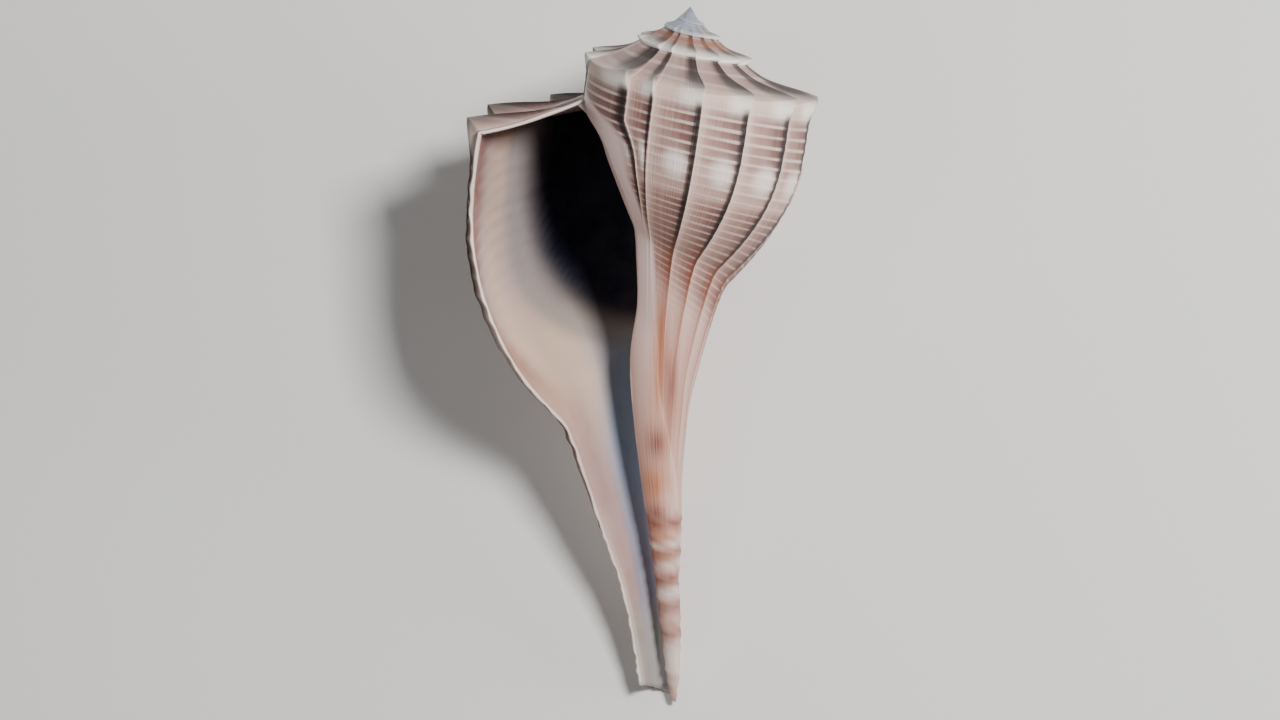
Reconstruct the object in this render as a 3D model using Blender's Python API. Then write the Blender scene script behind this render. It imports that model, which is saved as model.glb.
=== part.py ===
"""A left-handed whelk shell: a knobbed body whorl under a low spire, drawn out into a long open canal.

The shell lies on its back with its mouth up. X runs across the mouth, Y towards the spire and Z up.
All the shapes are worked out in a shell frame first: a growth angle that ends at 0 on the outer lip, a
distance from the coiling axis and a depth down that axis from the apex. Lengths here are in millimetres.
"""

import bmesh
import bpy
import numpy as np

MM = 0.001

# The whole shell
AXIS_LENGTH = 180.5
WHORL_GROWTH = 2.03
LIP_AZIMUTH = 190.0
FIRST_GROWTH_ANGLE = -1440.0

# The shoulder, which is the keeled corner between the ramp and the side of each whorl
SHOULDER_RADIUS = 48.5
SHOULDER_DEPTH = 27.9
SHOULDER_DEPTH_POWER = 0.76
SIDE_DEPTH_POWER = 0.9
LIP_DROP = 9.5
LIP_DROP_START = -190.0
LIP_FLARE = 0.035
LIP_FLARE_START = -60.0
SUTURE_BELOW_KEEL = 0.05
SUTURE_DROP_SHARE = 0.95
RAMP_SAG = 0.10

# The side of the last whorl at the lip: depth below the shoulder and distance from the axis
SIDE_PROFILE = [
    (0.0, 48.5), (15.0, 48.9), (28.0, 47.8), (41.0, 44.0), (52.0, 38.0), (60.0, 32.0), (65.0, 27.6),
    (69.0, 24.0), (74.0, 21.8), (85.0, 18.5), (98.0, 15.1), (111.0, 12.0), (120.0, 10.7), (128.0, 9.8),
    (139.5, 8.5), (150.0, 7.8), (158.0, 6.8), (166.0, 4.5), (176.0, 1.5), (190.0, 0.0),
]

# The columella, the pillar that the canal is wound on: depth and radius
PILLAR_PROFILE = [
    (0.0, 0.0), (50.0, 2.0), (70.0, 5.5), (88.0, 7.2), (101.0, 6.5), (112.0, 5.5), (124.0, 4.3),
    (135.5, 3.5), (147.0, 3.0), (154.0, 2.9), (167.0, 2.3), (177.0, 1.3), (180.5, 0.6),
]
PILLAR_BLEND = 6.0

# The lean of the axis in the plane of the mouth: depth and degrees, clockwise seen from above
AXIS_LEAN = [
    (0.0, 7.5), (31.0, 7.5), (85.0, 1.5), (116.0, -1.5), (144.0, -6.0), (165.0, -3.0), (185.0, -1.0),
]
AXIS_OVERRUN = 10.0
AXIS_SAMPLES = 400

# The broken end of the canal: azimuth and depth
CANAL_END = [(-180.0, 180.5), (90.0, 180.0), (140.0, 178.5), (190.0, 176.5), (200.0, 176.3)]

# The mouth
INNER_LIP_AZIMUTH = [
    (26.0, 190.0), (32.7, 221.0), (40.0, 232.0), (52.0, 240.0), (65.0, 236.0), (78.0, 226.0),
    (90.0, 205.0), (100.0, 192.0), (182.0, 190.0),
]
HOLLOW_END_AZIMUTH = [
    (0.0, -110.0), (62.0, -110.0), (72.0, -60.0), (82.0, -10.0), (92.0, 35.0), (105.0, 68.0),
    (120.0, 88.0), (150.0, 112.0), (160.0, 120.0), (170.0, 128.0), (182.0, 142.0),
]
LIP_LEAN = [(0.0, 0.0), (60.0, 2.0), (85.0, 12.0), (105.0, 6.0), (130.0, 0.0), (182.0, 0.0)]
LIP_LEAN_POWER = 10
HOLLOW_ROUNDING = 40.0
INNER_LIP_DEPTH = 0.30
INNER_LIP_FADE = 32.0
INNER_LIP_TOP_FADE = 9.0
INNER_LIP_LOW_START = 60.0
INNER_LIP_LOW_FADE = 45.0
FRONT_DEPTH_POWER = 2
FRONT_RADIUS_POWER = 8

# The wall, thick in the body and thin at the lip and along the canal
WALL = 2.3
LIP_WALL = 0.8
CANAL_WALL = 1.2
WALL_THIN_ANGLE = 25.0
CANAL_WALL_START = 80.0
CANAL_WALL_FADE = 60.0
LEAST_GAP = 0.5

# The growth lines that end each stage of growth, as azimuths, and the first that the callus leaves bare
GROWTH_LINES = [
    -120.0, -104.5, -79.0, -55.0, -29.0, -5.0, 16.0, 34.0, 54.0, 78.0, 106.0, 134.0, 163.0, 187.0,
]
FIRST_BARE_LINE = -104.5

# The relief of each stage: a knob on the shoulder, a step at the line and a swelling on the side
KNOB_HEIGHT = 2.8
KNOB_RISE = 2.8
KNOB_WIDTH = 5.0
KNOB_POWER = 2.5
STEP_HEIGHT = 1.0
STEP_POWER = 3
STEP_TOP_FADE = 8.0
STEP_LOW_START = 70.0
STEP_LOW_FADE = 50.0
SWELLING_HEIGHT = 1.1
SWELLING_DEPTH = 31.0
SWELLING_WIDTH = 8.0
SWELLING_POWER = 1.6

# How finely the surface is cut
STEPS_BETWEEN_LINES = (0.0, 0.1, 0.4, 0.72)
RAMP_STEPS = (0.0, 0.3, 0.6, 0.85, 1.0)
SIDE_STEPS = (0.15, 0.45, 0.72, 1.0)
LOWER_STEPS = (
    0.0, 0.02, 0.05, 0.085, 0.12, 0.155, 0.19, 0.225, 0.26, 0.3, 0.34, 0.38, 0.43, 0.49, 0.55, 0.62,
    0.69, 0.76, 0.83, 0.89, 0.95, 1.0,
)
HOLLOW_COLUMNS = 30
LEAST_ANGLE_STEP = 1.0

# The pose at rest, lying on its back: turns about X and Y, then the shift of the box to the origin
REST_PITCH = 15.69
REST_ROLL = 13.31


def smooth_curve(where, points):
    """Reads a curve that passes smoothly through the points (cubic pieces with matching slopes)."""
    px, py = np.array(points).T
    slope = np.gradient(py, px)
    where = np.clip(where, px[0], px[-1])
    i = np.clip(np.searchsorted(px, where, side="right") - 1, 0, len(px) - 2)
    width = px[i + 1] - px[i]
    t = (where - px[i]) / width
    start = (1 + 2 * t) * (1 - t) ** 2 * py[i] + t * (1 - t) ** 2 * width * slope[i]
    end = t**2 * (3 - 2 * t) * py[i + 1] + t**2 * (t - 1) * width * slope[i + 1]
    return start + end


def ease(t):
    """Rises smoothly from 0 to 1."""
    t = np.clip(t, 0.0, 1.0)
    return t * t * (3 - 2 * t)


def growth(angle):
    """Size of the shell at a growth angle, as a share of its size at the lip."""
    return WHORL_GROWTH ** (angle / 360)


def lip_drop(angle):
    """How far the last half turn slides down the axis towards the lip."""
    return LIP_DROP * ease((angle - LIP_DROP_START) / -LIP_DROP_START)


def lip_flare(angle):
    """How much wider than its growth the whorl opens near the lip."""
    return 1 + LIP_FLARE * ease((angle - LIP_FLARE_START) / -LIP_FLARE_START)


def shoulder_depth(angle):
    """Depth of the keeled corner below the apex."""
    return SHOULDER_DEPTH * growth(angle) ** SHOULDER_DEPTH_POWER + lip_drop(angle)


def below_shoulder(angle, depth):
    """Depth below the shoulder, measured as if the whorl were the size that it has at the lip."""
    return (depth - shoulder_depth(angle)) / growth(angle) ** SIDE_DEPTH_POWER


def side_radius(angle, depth):
    """Radius of a whorl's side: the lip's profile scaled by growth, joined smoothly to the pillar."""
    side = growth(angle) * lip_flare(angle) * smooth_curve(below_shoulder(angle, depth), SIDE_PROFILE)
    pillar = smooth_curve(depth, PILLAR_PROFILE)
    return (np.maximum(side, 0.0) ** PILLAR_BLEND + pillar**PILLAR_BLEND) ** (1 / PILLAR_BLEND)


def suture_depth(angle):
    """Depth where a whorl joins the one before it, just under that one's keel."""
    before = angle - 360
    keel = growth(before) * SHOULDER_RADIUS * SUTURE_BELOW_KEEL
    return shoulder_depth(before) + keel + SUTURE_DROP_SHARE * lip_drop(angle)


LOWER_START = (suture_depth(0.0) - shoulder_depth(-360.0)) / growth(-360.0) ** SIDE_DEPTH_POWER


def lower_start_depth(angle):
    """Depth of the last row that the next whorl leaves bare, carried on round the last whorl."""
    covered = suture_depth(angle + 360)
    bare = shoulder_depth(angle) + LOWER_START * growth(angle) ** SIDE_DEPTH_POWER
    return np.where(angle < -360, covered, bare)


def upper_surface(angle, row):
    """Radius and depth of a row of the ramp, the keel and the top of the side."""
    ramp_rows = len(RAMP_STEPS) - 1
    steps = np.array(RAMP_STEPS + SIDE_STEPS)
    t = steps[row]
    top_depth = suture_depth(angle)
    top_radius = side_radius(angle - 360, top_depth)
    keel_depth = shoulder_depth(angle)
    keel_radius = side_radius(angle, keel_depth)
    ramp_radius = top_radius + (keel_radius - top_radius) * t
    ramp_depth = top_depth + (keel_depth - top_depth) * (t + RAMP_SAG * 4 * t * (1 - t))
    side_depth = keel_depth + (lower_start_depth(angle) - keel_depth) * t
    on_ramp = row <= ramp_rows
    depth = np.where(on_ramp, ramp_depth, side_depth)
    return np.where(on_ramp, ramp_radius, side_radius(angle, side_depth)), depth


def canal_end_depth(azimuth):
    """Depth of the broken end of the canal, which is longest on the pillar's side."""
    return smooth_curve(azimuth, CANAL_END)


def lower_surface(angle, row):
    """Radius and depth of a row between the bare part of the side and the end of the canal."""
    share = np.array(LOWER_STEPS)[row]
    start = lower_start_depth(angle)
    depth = start + (canal_end_depth(angle + LIP_AZIMUTH) - start) * share
    return side_radius(angle, depth), depth


def since_growth_line(azimuth):
    """Share of the way from one growth line to the next, 0 just past a line and 1 at the next."""
    lines = np.array([GROWTH_LINES[-1] - 360] + GROWTH_LINES + [GROWTH_LINES[0] + 360])
    wrapped = (azimuth - lines[0]) % 360 + lines[0]
    i = np.clip(np.searchsorted(lines, wrapped - 1e-6, side="left") - 1, 0, len(lines) - 2)
    return (wrapped - lines[i]) / (lines[i + 1] - lines[i])


def relief(angle, radius, depth, line_angle):
    """Adds the knobs, the saw-tooth growth steps and the swellings to the bare form.

    Each rises with a power of the share of the way from one growth line to the next.
    """
    size = growth(angle)
    share = since_growth_line(line_angle + LIP_AZIMUTH)
    below = below_shoulder(angle, depth)
    knob = share**KNOB_POWER * np.exp(-((below / KNOB_WIDTH) ** 2))
    lower_end = 1 - ease((below - STEP_LOW_START) / STEP_LOW_FADE)
    step = share**STEP_POWER * ease(below / STEP_TOP_FADE + 1) * lower_end
    across = np.exp(-(((below - SWELLING_DEPTH) / SWELLING_WIDTH) ** 2))
    swelling = np.sin(np.pi * share**SWELLING_POWER) * across
    out = KNOB_HEIGHT * knob + STEP_HEIGHT * step + SWELLING_HEIGHT * swelling
    return radius + size * out, depth - size * KNOB_RISE * knob


def axis_place(depth):
    """Place of the axis in X and Y and its lean in radians, from the lean added up down the axis."""
    fine = np.linspace(0.0, AXIS_LENGTH + AXIS_OVERRUN, AXIS_SAMPLES)
    lean = np.radians(np.interp(fine, *np.array(AXIS_LEAN).T))
    step = np.diff(fine)
    across = np.concatenate([[0.0], np.cumsum(-np.sin((lean[1:] + lean[:-1]) / 2) * step)])
    along = np.concatenate([[0.0], np.cumsum(-np.cos((lean[1:] + lean[:-1]) / 2) * step)])
    return np.interp(depth, fine, across), np.interp(depth, fine, along), np.interp(depth, fine, lean)


def place(azimuth, radius, depth):
    """Turns azimuth, radius and depth into X, Y and Z, on the leaning axis."""
    across, along, lean = axis_place(depth)
    turn = np.radians(azimuth)
    sideways = radius * np.cos(turn)
    x = across + sideways * np.cos(lean)
    y = along - sideways * np.sin(lean)
    z = -radius * np.sin(turn)
    return np.stack([x, y, z], axis=-1)


def growth_angles():
    """Growth angles of the columns of one turn, close together at each growth line."""
    lines = [azimuth - LIP_AZIMUTH for azimuth in GROWTH_LINES]
    lines = [lines[-1] - 360] + lines
    angles = []
    for start, end in zip(lines, lines[1:]):
        angles += [start + (end - start) * step for step in STEPS_BETWEEN_LINES]
    angles = sorted(angle % 360 - 360 for angle in angles)
    if angles[0] + 360 < LEAST_ANGLE_STEP:
        angles = angles[1:]
    return np.array([-360.0] + angles)


def wall_thickness(angle, depth):
    """Thin at the lip and along the canal, full in the body."""
    body = LIP_WALL + (WALL - LIP_WALL) * ease(-angle / WALL_THIN_ANGLE)
    canal = ease((depth - CANAL_WALL_START) / CANAL_WALL_FADE)
    return body + (np.minimum(CANAL_WALL, body) - body) * canal


def inner_radius(azimuth, depth, top_depth):
    """Radius of the whorl before, cut back where it forms the inner lip and the back of the mouth."""
    bare = side_radius(azimuth - LIP_AZIMUTH - 360, depth)
    edge = smooth_curve(depth, INNER_LIP_AZIMUTH)
    cut = ease((edge - azimuth) / INNER_LIP_FADE) * ease((depth - top_depth) / INNER_LIP_TOP_FADE)
    cut = cut * (1 - ease((depth - INNER_LIP_LOW_START) / INNER_LIP_LOW_FADE))
    return bare * (1 - INNER_LIP_DEPTH * cut)


class Surface:
    """Collects points, numbered as they come, and the faces between them."""

    def __init__(self):
        self.points = []
        self.count = 0
        self.faces = []

    def add(self, points):
        flat = points.reshape(-1, 3)
        numbers = np.arange(self.count, self.count + len(flat)).reshape(points.shape[:-1])
        self.points.append(flat)
        self.count += len(flat)
        return numbers

    def skin(self, grid):
        """Joins a grid of point numbers with faces, leaving out edges that have shrunk to a point."""
        for a, b, c, d in zip(grid[:-1, :-1].flat, grid[1:, :-1].flat, grid[1:, 1:].flat, grid[:-1, 1:].flat):
            corners = [int(n) for n in dict.fromkeys((a, b, c, d))]
            if len(corners) > 2:
                self.faces.append(corners)


def build_surface():
    """Builds the whole skin: spire, last whorl, lip, hollow and the broken end of the canal."""
    surface = Surface()
    turn = growth_angles()
    per_turn = len(turn)
    turns = int(-FIRST_GROWTH_ANGLE / 360)
    angles = np.concatenate([turn - 360 * n for n in range(turns - 1, -1, -1)] + [[0.0]])
    last = per_turn * (turns - 1)
    upper_rows = len(RAMP_STEPS) + len(SIDE_STEPS) - 1
    lower_rows = len(LOWER_STEPS) - 1

    # Ramps, keels and sides, wound from the apex to the lip; each turn starts on the one before it
    angle, row = np.meshgrid(angles, np.arange(upper_rows + 1), indexing="ij")
    radius, depth = relief(angle, *upper_surface(angle, row), angle)
    upper = surface.add(place(angle + LIP_AZIMUTH, radius, depth))
    upper[: last + 1, upper_rows] = upper[per_turn : per_turn + last + 1, 0]
    surface.skin(upper)

    # Tip of the spire
    apex = int(surface.add(place(np.zeros(1), np.zeros(1), np.zeros(1)))[0])
    fan = np.concatenate([upper[0, ::-1], upper[1 : per_turn + 1, 0]])
    surface.skin(np.stack([np.full(len(fan), apex), fan], axis=1))

    # The rest of the last whorl, from the inner lip round to the outer lip
    row = np.arange(lower_rows + 1)[None, :]
    start_depth = lower_surface(np.full(lower_rows + 1, -360.0), row[0])[1]
    start_shift = smooth_curve(start_depth, INNER_LIP_AZIMUTH) - LIP_AZIMUTH
    start_shift[0] = 0.0
    end_shift = smooth_curve(lower_surface(np.zeros(lower_rows + 1), row[0])[1], LIP_LEAN)
    end_shift[0] = 0.0
    own_angle = np.concatenate([turn, [0.0]])[:, None]
    first_bare = FIRST_BARE_LINE - LIP_AZIMUTH
    squeeze = np.clip((first_bare - own_angle) / (first_bare + 360), 0, 1)
    along = own_angle / 360 + 1
    angle = own_angle + start_shift * squeeze + end_shift * along**LIP_LEAN_POWER
    row = np.broadcast_to(row, angle.shape)
    radius, depth = relief(angle, *lower_surface(angle, row), own_angle)
    lower = surface.add(place(angle + LIP_AZIMUTH, radius, depth))
    lower[:, 0] = upper[last : last + per_turn + 1, upper_rows]
    surface.skin(lower)
    front_radius, front_depth = radius[0, 1:], depth[0, 1:]

    # The outer side of the hollow, a wall's thickness inside the last whorl
    back = np.linspace(0, 1, HOLLOW_COLUMNS + 1)[:, None]
    upper_index = np.arange(upper_rows + 1)[None, :]
    lower_index = np.arange(1, lower_rows + 1)[None, :]
    lip_depth = lower_surface(np.zeros(lower_rows), lower_index[0])[1]
    hollow_end = smooth_curve(lip_depth, HOLLOW_END_AZIMUTH)
    ceiling_end = np.full(upper_rows + 1, HOLLOW_END_AZIMUTH[0][1])
    end_angle = np.concatenate([ceiling_end, hollow_end]) - LIP_AZIMUTH
    lip_angle = np.concatenate([np.zeros(upper_rows + 1), end_shift[1:]])
    angle = lip_angle + (end_angle - lip_angle) * back
    upper_angle, lower_angle = angle[:, : upper_rows + 1], angle[:, upper_rows + 1 :]
    upper_part = upper_surface(upper_angle, np.broadcast_to(upper_index, upper_angle.shape))
    lower_part = lower_surface(lower_angle, np.broadcast_to(lower_index, lower_angle.shape))
    radius = np.concatenate([upper_part[0], lower_part[0]], axis=1)
    depth = np.concatenate([upper_part[1], lower_part[1]], axis=1)
    along_radius, along_depth = np.gradient(radius, axis=1), np.gradient(depth, axis=1)
    length = np.hypot(along_radius, along_depth)
    thickness = wall_thickness(angle, depth)
    wall_radius = radius - thickness * along_depth / length
    wall_depth = depth + thickness * along_radius / length

    # The inner side of the hollow: the whorl before and the pillar
    hollow_top = suture_depth(angle[:, :1]) + WALL
    end_depth = canal_end_depth(lower_angle + LIP_AZIMUTH)
    share = np.array(LOWER_STEPS)[lower_index]
    first_share = LOWER_STEPS[1]
    share = (share - first_share) / (1 - first_share)
    edge = smooth_curve(front_depth, INNER_LIP_AZIMUTH)
    edge[0] = LIP_AZIMUTH
    inner_azimuth = edge + (hollow_end - edge) * back
    inner_azimuth[:, 0] = angle[:, 0] + LIP_AZIMUTH
    inner_depth = hollow_top + (end_depth - hollow_top) * share
    inner_depth = inner_depth + (front_depth - inner_depth[0]) * (1 - back) ** FRONT_DEPTH_POWER
    inner = inner_radius(inner_azimuth, inner_depth, hollow_top)
    inner = inner + (front_radius - inner[0]) * (1 - back) ** FRONT_RADIUS_POWER
    inner[:, 0] = side_radius(inner_azimuth[:, 0] - LIP_AZIMUTH - 360, inner_depth[:, 0])

    # The wall keeps clear of the inner side, and closes on it at the back of the hollow
    facing = inner_radius(lower_angle + LIP_AZIMUTH, wall_depth[:, upper_rows + 1 :], hollow_top)
    gap = wall_radius[:, upper_rows + 1 :] - facing
    wall_radius[:, upper_rows + 1 :] = facing + np.maximum(gap, LEAST_GAP)
    backed = np.clip((angle - end_angle) / HOLLOW_ROUNDING, 0, 1)
    taper = np.sqrt(1 - (1 - backed) ** 2)
    base_radius = np.concatenate([np.repeat(inner[:, :1], upper_rows + 1, axis=1), facing], axis=1)
    base_top = np.repeat(inner_depth[:, :1], upper_rows + 1, axis=1)
    base_depth = np.concatenate([base_top, wall_depth[:, upper_rows + 1 :]], axis=1)
    wall_radius = base_radius + (wall_radius - base_radius) * taper
    wall_depth = base_depth + (wall_depth - base_depth) * taper

    wall = surface.add(place(angle + LIP_AZIMUTH, wall_radius, wall_depth))
    pillar = surface.add(place(inner_azimuth, inner, inner_depth))
    pillar[0] = lower[0, 1:]
    wall[:, 0] = pillar[:, 0]
    wall[-1, : upper_rows + 2] = pillar[-1, 0]
    pillar[-1, 1:] = wall[-1, upper_rows + 2 :]
    surface.skin(wall)
    surface.skin(pillar)

    # The rim of the outer lip, and the broken end
    lip = np.concatenate([upper[-1], lower[-1, 1:]])
    surface.skin(np.stack([lip, wall[0]]))
    end = list(lower[:, -1]) + list(wall[:, -1]) + list(pillar[-2:0:-1, -1])
    surface.faces.append([int(n) for n in end])
    return np.concatenate(surface.points), surface.faces


def lay_down(points):
    """Turns the shell onto its back and puts the middle of its underside at the origin."""
    pitch, roll = np.radians(REST_PITCH), np.radians(REST_ROLL)
    about_x = np.array([[1, 0, 0], [0, np.cos(pitch), -np.sin(pitch)], [0, np.sin(pitch), np.cos(pitch)]])
    about_y = np.array([[np.cos(roll), 0, np.sin(roll)], [0, 1, 0], [-np.sin(roll), 0, np.cos(roll)]])
    points = points @ (about_x @ about_y).T
    low, high = points.min(axis=0), points.max(axis=0)
    return points - [(low[0] + high[0]) / 2, (low[1] + high[1]) / 2, low[2]]


def shell_material():
    material = bpy.data.materials.new("shell")
    material.use_nodes = True
    finish = material.node_tree.nodes["Principled BSDF"]
    finish.inputs["Base Color"].default_value = (0.62, 0.46, 0.40, 1.0)
    finish.inputs["Roughness"].default_value = 0.45
    finish.inputs["Metallic"].default_value = 0.0
    return material


def make_shell():
    points, faces = build_surface()
    mesh = bpy.data.meshes.new("whelk_shell")
    used = sorted({n for face in faces for n in face})
    number = {old: new for new, old in enumerate(used)}
    points = lay_down(points[used])
    mesh.from_pydata((points * MM).tolist(), [], [[number[n] for n in face] for face in faces])
    body = bmesh.new()
    body.from_mesh(mesh)
    bmesh.ops.recalc_face_normals(body, faces=body.faces)
    body.to_mesh(mesh)
    body.free()
    mesh.materials.append(shell_material())
    shell = bpy.data.objects.new("whelk_shell", mesh)
    bpy.context.scene.collection.objects.link(shell)
    mesh.shade_smooth()
    return shell


for old in list(bpy.data.objects):
    bpy.data.objects.remove(old)
make_shell()
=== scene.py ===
import bmesh
import bpy
import numpy as np
from mathutils import Matrix, Vector


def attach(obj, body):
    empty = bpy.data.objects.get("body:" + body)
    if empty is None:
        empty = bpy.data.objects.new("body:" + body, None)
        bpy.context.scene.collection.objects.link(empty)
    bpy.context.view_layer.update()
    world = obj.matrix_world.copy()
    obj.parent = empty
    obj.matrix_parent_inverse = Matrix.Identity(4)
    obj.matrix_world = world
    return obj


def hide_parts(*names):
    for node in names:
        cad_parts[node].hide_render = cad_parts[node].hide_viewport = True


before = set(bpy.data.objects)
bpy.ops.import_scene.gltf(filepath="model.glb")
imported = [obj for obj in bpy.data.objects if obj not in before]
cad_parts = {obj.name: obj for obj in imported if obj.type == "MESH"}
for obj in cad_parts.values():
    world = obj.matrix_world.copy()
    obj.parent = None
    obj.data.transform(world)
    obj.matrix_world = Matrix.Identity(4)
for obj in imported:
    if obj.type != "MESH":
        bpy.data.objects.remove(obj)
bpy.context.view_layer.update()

# The whelk shell's fine surface, worked out like the solid's: a growth angle that ends at 0 on the outer
# lip, a distance from the coiling axis and a depth down that axis from the apex, all in millimetres.

MM = 0.001

# The whole shell
AXIS_LENGTH = 180.5
WHORL_GROWTH = 2.03
LIP_AZIMUTH = 190.0
FIRST_GROWTH_ANGLE = -1440.0

# The shoulder, which is the keeled corner between the ramp and the side of each whorl
SHOULDER_RADIUS = 48.5
SHOULDER_DEPTH = 27.9
SHOULDER_DEPTH_POWER = 0.76
SIDE_DEPTH_POWER = 0.9
LIP_DROP = 9.5
LIP_DROP_START = -190.0
LIP_FLARE = 0.035
LIP_FLARE_START = -60.0
SUTURE_BELOW_KEEL = 0.05
SUTURE_DROP_SHARE = 0.95
RAMP_SAG = 0.10

# The side of the last whorl at the lip: depth below the shoulder and distance from the axis
SIDE_PROFILE = [
    (0.0, 48.5), (15.0, 48.9), (28.0, 47.8), (41.0, 44.0), (52.0, 38.0), (60.0, 32.0), (65.0, 27.6),
    (69.0, 24.0), (74.0, 21.8), (85.0, 18.5), (98.0, 15.1), (111.0, 12.0), (120.0, 10.7), (128.0, 9.8),
    (139.5, 8.5), (150.0, 7.8), (158.0, 6.8), (166.0, 4.5), (176.0, 1.5), (190.0, 0.0),
]

# The columella, the pillar that the canal is wound on: depth and radius
PILLAR_PROFILE = [
    (0.0, 0.0), (50.0, 2.0), (70.0, 5.5), (88.0, 7.2), (101.0, 6.5), (112.0, 5.5), (124.0, 4.3),
    (135.5, 3.5), (147.0, 3.0), (154.0, 2.9), (167.0, 2.3), (177.0, 1.3), (180.5, 0.6),
]
PILLAR_BLEND = 6.0

# The lean of the axis in the plane of the mouth: depth and degrees, clockwise seen from above
AXIS_LEAN = [
    (0.0, 7.5), (31.0, 7.5), (85.0, 1.5), (116.0, -1.5), (144.0, -6.0), (165.0, -3.0), (185.0, -1.0),
]
AXIS_OVERRUN = 10.0
AXIS_SAMPLES = 400

# The broken end of the canal: azimuth and depth
CANAL_END = [(-180.0, 180.5), (90.0, 180.0), (140.0, 178.5), (190.0, 176.5), (200.0, 176.3)]

# The mouth
INNER_LIP_AZIMUTH = [
    (26.0, 190.0), (32.7, 221.0), (40.0, 232.0), (52.0, 240.0), (65.0, 236.0), (78.0, 226.0),
    (90.0, 205.0), (100.0, 192.0), (182.0, 190.0),
]
HOLLOW_END_AZIMUTH = [
    (0.0, -110.0), (62.0, -110.0), (72.0, -60.0), (82.0, -10.0), (92.0, 35.0), (105.0, 68.0),
    (120.0, 88.0), (150.0, 112.0), (160.0, 120.0), (170.0, 128.0), (182.0, 142.0),
]
LIP_LEAN = [(0.0, 0.0), (60.0, 2.0), (85.0, 12.0), (105.0, 6.0), (130.0, 0.0), (182.0, 0.0)]
LIP_LEAN_POWER = 10
HOLLOW_ROUNDING = 40.0
INNER_LIP_DEPTH = 0.30
INNER_LIP_FADE = 32.0
INNER_LIP_TOP_FADE = 9.0
INNER_LIP_LOW_START = 60.0
INNER_LIP_LOW_FADE = 45.0
FRONT_DEPTH_POWER = 2
FRONT_RADIUS_POWER = 8
WALL = 2.3
LIP_WALL = 0.8
CANAL_WALL = 1.2
CANAL_WALL_START = 80.0
CANAL_WALL_FADE = 60.0
WALL_THIN_ANGLE = 25.0
LEAST_GAP = 0.5

# The growth lines that end each stage of growth, as azimuths, and the first that the callus leaves bare
GROWTH_LINES = [
    -120.0, -104.5, -79.0, -55.0, -29.0, -5.0, 16.0, 34.0, 54.0, 78.0, 106.0, 134.0, 163.0, 187.0,
]
FIRST_BARE_LINE = -104.5

# The relief of each stage: a knob on the shoulder, a step at the line and a swelling on the side
KNOB_HEIGHT = 2.8
KNOB_RISE = 2.8
KNOB_WIDTH = 5.0
KNOB_POWER = 2.5
STEP_HEIGHT = 1.0
STEP_POWER = 3
STEP_TOP_FADE = 8.0
STEP_LOW_START = 70.0
STEP_LOW_FADE = 50.0
SWELLING_HEIGHT = 1.1
SWELLING_DEPTH = 31.0
SWELLING_WIDTH = 8.0
SWELLING_POWER = 1.6

# Fine relief and threads that only this script draws, in millimetres at the lip's size
THREAD_SPACING = 4.05
FINE_THREAD_SPACING = 2.8
THREAD_HEIGHT = 0.10
LIRA_SPACING = 4.0
LIRA_HEIGHT = 0.12
CALLUS_THICKNESS = 0.25
CALLUS_END = 131.5
CALLUS_AZIMUTH = [
    (24.0, 192.0), (30.0, 228.0), (44.0, 244.0), (52.0, 251.0), (62.0, 258.0), (75.0, 262.0),
    (88.0, 268.0), (100.0, 275.0), (112.0, 300.0), (131.0, 345.0), (182.0, 345.0),
]
LIP_RIPPLE = 0.18
CANAL_WRINKLE = 0.22
BREAK_ROUGHNESS = 0.8

# Sine waves of the break: rate round the canal, shift in radians and share; and where the break gets rough
BREAK_WAVES = [(9, 0.0, 0.5), (23, 1.0, 0.3), (41, 2.0, 0.2)]
BREAK_EDGE = (90.0, 60.0)

# Uneven waves down the shell: rate in radians a millimetre, then the size and the rate of their drift
WRINKLE_WAVE = (1.9, 1.5, 0.37)
RIPPLE_WAVE = (0.8, 2.0, 0.23)
STRIPE_WAVE = (2.6, 1.0, 0.7)

# The callus: start and length of its first edge, the fades of its side and its end, and the share of the
# relief that it hides; then a growth angle a little more than one turn back from the lip, before which
# there is no callus and no wrinkle
CALLUS_FIRST_EDGE = (186.0, 3.0)
CALLUS_SIDE_FADE = 7.0
CALLUS_END_FADE = 0.8
CALLUS_HIDES = 0.85
LAST_WHORL_START = -362.0

# Fades of the fine relief: the canal's wrinkles in millimetres, the lip's ripple and the lirae in degrees
WRINKLE_FADE = 2.0
RIPPLE_REACH = 3.0
LIRA_START = 6.0
LIRA_REACH = 60.0

# Slack in degrees, so that a point on a growth line belongs to the stage that ends there
LINE_SLACK = 1e-6

# Zones below the shoulder, in millimetres at the lip's size, or in millimetres from the lip: start and
# length of the rise, then of the fall
THREAD_RELIEF_ZONE = (3.0, 4.0, 75.0, 20.0)
LIRA_RELIEF_ZONE = (4.0, 6.0, 70.0, 15.0)
SIDE_ZONE = (2.0, 5.0, 66.0, 26.0)
UPPER_BAND = (5.0, 5.0, 23.0, 8.0)
LOWER_BAND = (41.0, 9.0, 70.0, 22.0)
FINE_THREAD_ZONE = (38.0, 8.0, 84.0, 20.0)
LIP_BAND = (0.0, 2.0, 7.0, 9.0)
LIRA_PAINT_ZONE = (3.0, 4.0, 16.0, 10.0)

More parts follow.
